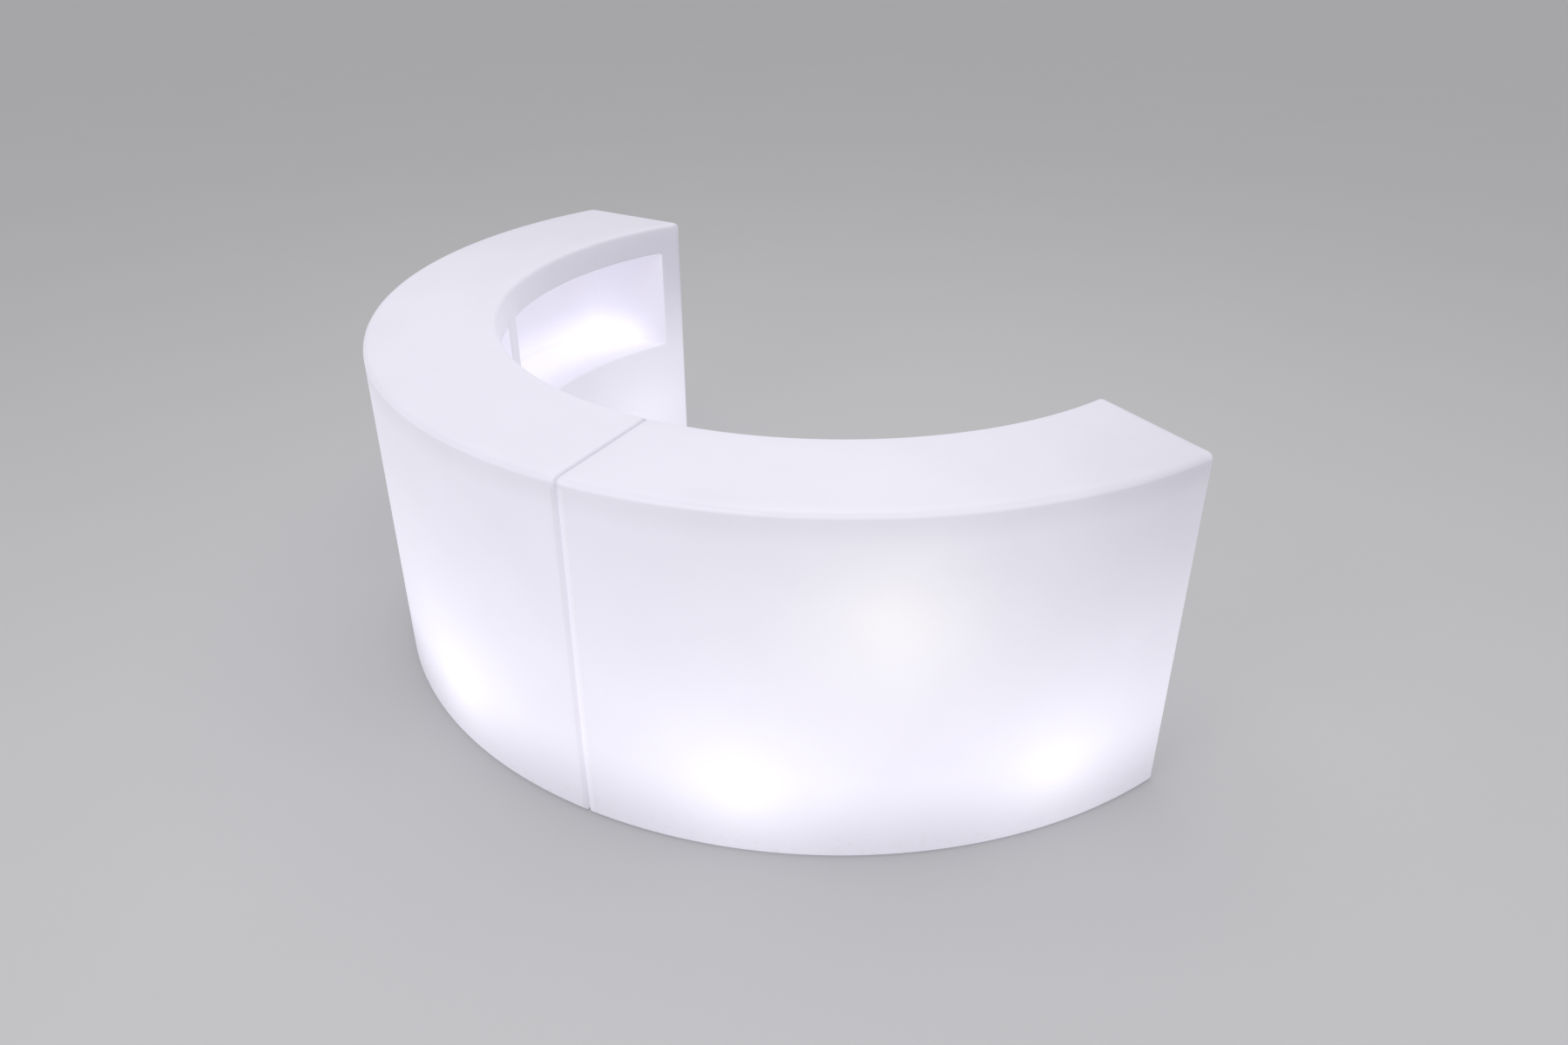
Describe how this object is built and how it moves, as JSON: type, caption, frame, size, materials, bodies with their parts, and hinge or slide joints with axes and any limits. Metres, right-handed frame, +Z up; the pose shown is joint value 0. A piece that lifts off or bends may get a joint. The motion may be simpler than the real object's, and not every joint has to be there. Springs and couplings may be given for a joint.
{
  "type": "illuminated round counter",
  "caption": "Curved bar counter of opal moulded modules lit from inside, making half a ring, with shelf niches on the service side.",
  "frame": {"origin": "centre of the bounding box on the floor", "axes": "+Z up, +X along the half ring's width, +Y towards the service side; guests stand on the -Y side"},
  "size_m": [3.1188, 1.6762, 1.1],
  "materials": {
    "opal_shell": "satin opal polyethylene, lit from inside",
    "cap_plastic": "moulded grey",
    "seal_rubber": "matt black",
    "holder_plastic": "white thermoset",
    "bulb_metal": "bright rolled",
    "opal_globe": "opal, lit",
    "screw_steel": "stainless",
    "foot_rubber": "matt black",
    "box_plastic": "moulded light grey",
    "lead_rubber": "white flexible sheath",
    "plate_plastic": "moulded white",
    "black_plastic": "moulded black",
    "contact_brass": "bright",
    "rocker_plastic": "gloss black"
  },
  "bodies": {
    "left_module": {"left_box_lid": "box_plastic", "left_bulb_base_1": "bulb_metal", "left_bulb_base_2": "bulb_metal", "left_bulb_base_3": "bulb_metal", "left_bulb_globe_1": "opal_globe", "left_bulb_globe_2": "opal_globe", "left_bulb_globe_3": "opal_globe", "left_cap_1": "cap_plastic", "left_cap_2": "cap_plastic", "left_cap_3": "cap_plastic", "left_cap_gasket_1": "seal_rubber", "left_cap_gasket_2": "seal_rubber", "left_cap_gasket_3": "seal_rubber", "left_cap_screws": "screw_steel", "left_feet": "foot_rubber", "left_flap_pin": "screw_steel", "left_foot_screws": "screw_steel", "left_inlet_housing": "black_plastic", "left_inlet_lead": "lead_rubber", "left_inlet_pins": "contact_brass", "left_junction_box": "box_plastic", "left_lamp_leads": "lead_rubber", "left_lampholder_1": "holder_plastic", "left_lampholder_2": "holder_plastic", "left_lampholder_3": "holder_plastic", "left_plate_screws": "screw_steel", "left_plate_seal": "seal_rubber", "left_power_plate": "plate_plastic", "left_shell": "opal_shell", "left_switch_frame": "black_plastic"},
    "right_module": {"right_box_lid": "box_plastic", "right_bulb_base_1": "bulb_metal", "right_bulb_base_2": "bulb_metal", "right_bulb_globe_1": "opal_globe", "right_bulb_globe_2": "opal_globe", "right_cap_1": "cap_plastic", "right_cap_2": "cap_plastic", "right_cap_gasket_1": "seal_rubber", "right_cap_gasket_2": "seal_rubber", "right_cap_screws": "screw_steel", "right_feet": "foot_rubber", "right_flap_pin": "screw_steel", "right_foot_screws": "screw_steel", "right_inlet_housing": "black_plastic", "right_inlet_lead": "lead_rubber", "right_inlet_pins": "contact_brass", "right_junction_box": "box_plastic", "right_lamp_leads": "lead_rubber", "right_lampholder_1": "holder_plastic", "right_lampholder_2": "holder_plastic", "right_plate_screws": "screw_steel", "right_plate_seal": "seal_rubber", "right_power_plate": "plate_plastic", "right_shell": "opal_shell", "right_switch_frame": "black_plastic"},
    "left_flap": {"left_inlet_flap": "black_plastic"},
    "left_rocker": {"left_switch_rocker": "rocker_plastic"},
    "right_flap": {"right_inlet_flap": "black_plastic"},
    "right_rocker": {"right_switch_rocker": "rocker_plastic"}
  },
  "joints": [
    {"name": "module_part", "type": "slide", "parent": "left_module", "child": "right_module", "axis": [0.9135, 0.4067, 0], "range_m": [0, 0.6]},
    {"name": "left_flap_hinge", "type": "hinge", "parent": "left_module", "child": "left_flap", "pos_m": [0.02755, -0.41183, 0.248], "axis": [1, 0, 0], "range_deg": [0, 110]},
    {"name": "left_rocker_tilt", "type": "hinge", "parent": "left_module", "child": "left_rocker", "pos_m": [-0.03445, -0.42223, 0.23], "axis": [1, 0, 0], "range_deg": [0, 14]},
    {"name": "right_flap_hinge", "type": "hinge", "parent": "right_module", "child": "right_flap", "pos_m": [0.86072, -0.01595, 0.248], "axis": [0.6691, 0.7431, 0], "range_deg": [0, 110]},
    {"name": "right_rocker_tilt", "type": "hinge", "parent": "right_module", "child": "right_rocker", "pos_m": [0.82696, -0.06898, 0.23], "axis": [0.6691, 0.7431, 0], "range_deg": [0, 14]}
  ]
}
